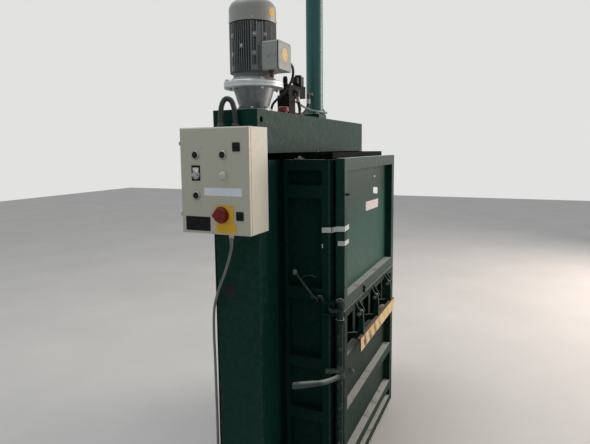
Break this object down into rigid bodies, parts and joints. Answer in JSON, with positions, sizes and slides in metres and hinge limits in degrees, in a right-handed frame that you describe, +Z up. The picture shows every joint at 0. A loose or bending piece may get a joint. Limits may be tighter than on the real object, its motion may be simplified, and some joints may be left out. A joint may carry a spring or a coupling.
{
  "type": "recycling baler",
  "caption": "Upright hydraulic baler with a doored press chamber, a ram and motor on its top beam and a control cabinet on one column.",
  "frame": {"origin": "on the floor, midway between the two columns and on their centre plane", "axes": "+Z up, the doors face -Y, +X is to the right of someone who stands in front of the doors"},
  "size_m": [1.6104, 0.8059, 2.6722],
  "materials": {
    "green_paint": "satin, dusty",
    "chamber_steel": "worn paint",
    "bare_steel": "dull",
    "rod_chrome": "polished",
    "cast_aluminium": "cast",
    "motor_paint": "painted, dusty",
    "cowl_paint": "satin",
    "pump_iron": "cast",
    "cabinet_paint": "textured",
    "hazard_paint": "worn",
    "black_plastic": "moulded",
    "grey_plastic": "moulded",
    "red_plastic": "moulded",
    "yellow_plastic": "flat",
    "white_plastic": "moulded",
    "hose_rubber": "smooth",
    "cable_sheath": "smooth",
    "gland_metal": "plated",
    "label_film": "printed film"
  },
  "bodies": {
    "frame": {"base_frame": "green_paint", "left_column": "green_paint", "right_column": "green_paint", "column_webs": "green_paint", "top_beam": "green_paint", "left_wall": "green_paint", "right_wall": "green_paint", "rear_wall": "green_paint", "chamber_deck": "chamber_steel", "hinge_pins": "bare_steel", "latch_keepers": "green_paint", "catch_pin": "bare_steel", "cylinder_gland": "green_paint", "cylinder_barrel": "green_paint", "rod_side_pipe": "bare_steel", "bell_housing": "cast_aluminium", "motor_body": "motor_paint", "fan_cowl": "cowl_paint", "gear_pump": "pump_iron", "terminal_box": "grey_plastic", "terminal_gland": "red_plastic", "manifold_block": "pump_iron", "directional_valve": "pump_iron", "solenoid_coil": "black_plastic", "hose_fittings": "gland_metal", "pressure_hose": "hose_rubber", "return_hose": "hose_rubber", "filler_cap": "red_plastic", "motor_cable": "hose_rubber", "control_conduit": "hose_rubber", "cabinet_body": "cabinet_paint", "cable_gland": "gland_metal", "supply_cable": "cable_sheath", "supply_plug": "red_plastic"},
    "upper_door": {"upper_door": "green_paint"},
    "lower_door": {"lower_door": "green_paint", "retainer_pins": "bare_steel", "retainer_springs": "bare_steel"},
    "retainer": {"retainer_bar": "hazard_paint"},
    "latch": {"latch_shaft": "bare_steel", "latch_lever": "bare_steel", "lever_grip": "black_plastic"},
    "catch": {"catch_arm": "green_paint", "catch_knob": "black_plastic"},
    "platen": {"platen": "chamber_steel", "piston_rod": "rod_chrome"},
    "rotor": {"motor_shaft": "bare_steel", "cooling_fan": "black_plastic"},
    "cabinet_door": {"cabinet_door": "cabinet_paint", "contact_blocks": "black_plastic", "button_bezels": "gland_metal", "switch_plate": "yellow_plastic", "pilot_lamp": "white_plastic", "label_plates": "label_film"},
    "start_button": {"start_button": "black_plastic"},
    "stop_button": {"stop_button": "black_plastic"},
    "reset_button": {"reset_button": "black_plastic"},
    "selector_switch": {"selector_switch": "gland_metal"},
    "main_switch": {"main_switch": "red_plastic"}
  },
  "joints": [
    {"name": "upper_door_hinge", "type": "hinge", "parent": "frame", "child": "upper_door", "pos_m": [0.48, -0.35, 1.22], "axis": [0, 0, 1], "range_deg": [0, 120]},
    {"name": "lower_door_hinge", "type": "hinge", "parent": "frame", "child": "lower_door", "pos_m": [0.48, -0.35, 0.47], "axis": [0, 0, 1], "range_deg": [0, 120]},
    {"name": "retainer_pivot", "type": "hinge", "parent": "lower_door", "child": "retainer", "pos_m": [0, -0.388, 0.834], "axis": [-1, 0, 0], "range_deg": [0, 30], "stiffness_Nm_per_rad": 4, "springref_deg": -22.92},
    {"name": "latch_turn", "type": "hinge", "parent": "lower_door", "child": "latch", "pos_m": [-0.4995, -0.363, 0.55], "axis": [0, 0, 1], "range_deg": [-20, 35]},
    {"name": "catch_pivot", "type": "hinge", "parent": "frame", "child": "catch", "pos_m": [-0.503, -0.254, 0.943], "axis": [1, 0, 0], "range_deg": [-60, 0]},
    {"name": "platen_stroke", "type": "slide", "parent": "frame", "child": "platen", "axis": [0, 0, -1], "range_m": [0, 0.8]},
    {"name": "rotor_spin", "type": "hinge", "parent": "frame", "child": "rotor", "pos_m": [-0.5555, 0, 1.9], "axis": [0, 0, 1], "continuous": true},
    {"name": "cabinet_door_hinge", "type": "hinge", "parent": "frame", "child": "cabinet_door", "pos_m": [-0.8485, 0.1625, 1.47], "axis": [0, 0, -1], "range_deg": [0, 110]},
    {"name": "start_push", "type": "slide", "parent": "cabinet_door", "child": "start_button", "axis": [1, 0, 0], "range_m": [0, 0.004], "stiffness_N_per_m": 500, "springref_m": -0.003},
    {"name": "stop_push", "type": "slide", "parent": "cabinet_door", "child": "stop_button", "axis": [1, 0, 0], "range_m": [0, 0.004], "stiffness_N_per_m": 500, "springref_m": -0.003},
    {"name": "reset_push", "type": "slide", "parent": "cabinet_door", "child": "reset_button", "axis": [1, 0, 0], "range_m": [0, 0.004], "stiffness_N_per_m": 500, "springref_m": -0.003},
    {"name": "selector_turn", "type": "hinge", "parent": "cabinet_door", "child": "selector_switch", "pos_m": [-0.8675, 0.086, 1.495], "axis": [1, 0, 0], "range_deg": [-45, 45]},
    {"name": "main_switch_turn", "type": "hinge", "parent": "cabinet_door", "child": "main_switch", "pos_m": [-0.8675, -0.024, 1.347], "axis": [1, 0, 0], "range_deg": [0, 90]}
  ]
}
